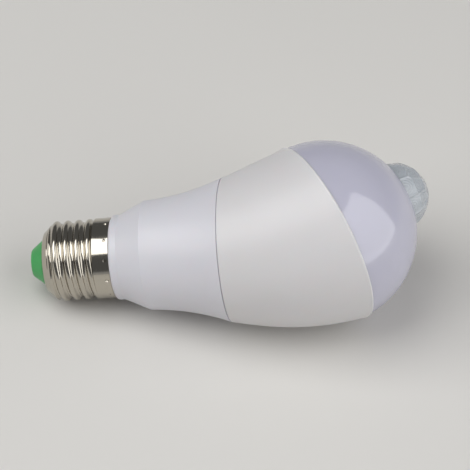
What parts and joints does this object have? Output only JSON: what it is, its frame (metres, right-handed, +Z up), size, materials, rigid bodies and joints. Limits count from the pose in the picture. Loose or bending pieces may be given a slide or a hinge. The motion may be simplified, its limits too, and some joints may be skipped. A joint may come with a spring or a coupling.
{
  "type": "motion sensor led bulb",
  "caption": "Screw-cap LED lamp lying on its side: threaded shell, flared neck, oblique tilted head with a milky dome and a faceted movement sensor lens at its pole.",
  "frame": {"origin": "centre of the bottom of the box around the resting lamp, at the height of the surface it rests on", "axes": "+X from the cap to the dome, +Z up, the head leans towards +Y"},
  "size_m": [0.1273, 0.0604, 0.0603],
  "materials": {
    "contact_metal": "satin",
    "tip_green": "satin",
    "cap_nickel": "bright nickel",
    "neck_white": "satin",
    "sleeve_white": "satin",
    "dome_milky": "gloss",
    "lens_frosted": "frosted",
    "pressed_aluminium": "satin",
    "light_board_white": "satin",
    "light_chip_yellow": "matt",
    "screw_steel": "satin",
    "stand_white": "matt",
    "board_green": "satin",
    "driver_board_green": "satin",
    "can_steel": "satin",
    "window_dark": "gloss",
    "header_gold": "satin",
    "cell_ceramic": "matt",
    "chip_black": "matt",
    "wire_black": "satin",
    "wire_red": "satin",
    "capacitor_sleeve": "gloss",
    "ferrite": "matt",
    "film_yellow": "gloss",
    "fuse_ceramic": "satin"
  },
  "bodies": {
    "root": {"centre_contact": "contact_metal", "tip_insulator": "tip_green", "cap_shell": "cap_nickel", "neck_housing": "neck_white", "head_sleeve": "sleeve_white", "diffuser_dome": "dome_milky", "sensor_lens": "lens_frosted", "heat_sink_cup": "pressed_aluminium", "led_board": "light_board_white", "led_chips": "light_chip_yellow", "board_screws": "screw_steel", "sensor_stand": "stand_white", "sensor_board": "board_green", "pir_can": "can_steel", "pir_window": "window_dark", "pir_header": "header_gold", "light_cell": "cell_ceramic", "sensor_chip": "chip_black", "sensor_wires": "wire_black", "driver_board": "driver_board_green", "input_capacitor": "capacitor_sleeve", "driver_inductor": "ferrite", "film_capacitor": "film_yellow", "output_capacitor": "capacitor_sleeve", "fuse_resistor": "fuse_ceramic", "bridge_rectifier": "chip_black", "driver_chip": "chip_black", "live_wire": "wire_red", "neutral_wire": "wire_black", "led_wires": "wire_red"}
  },
  "joints": []
}
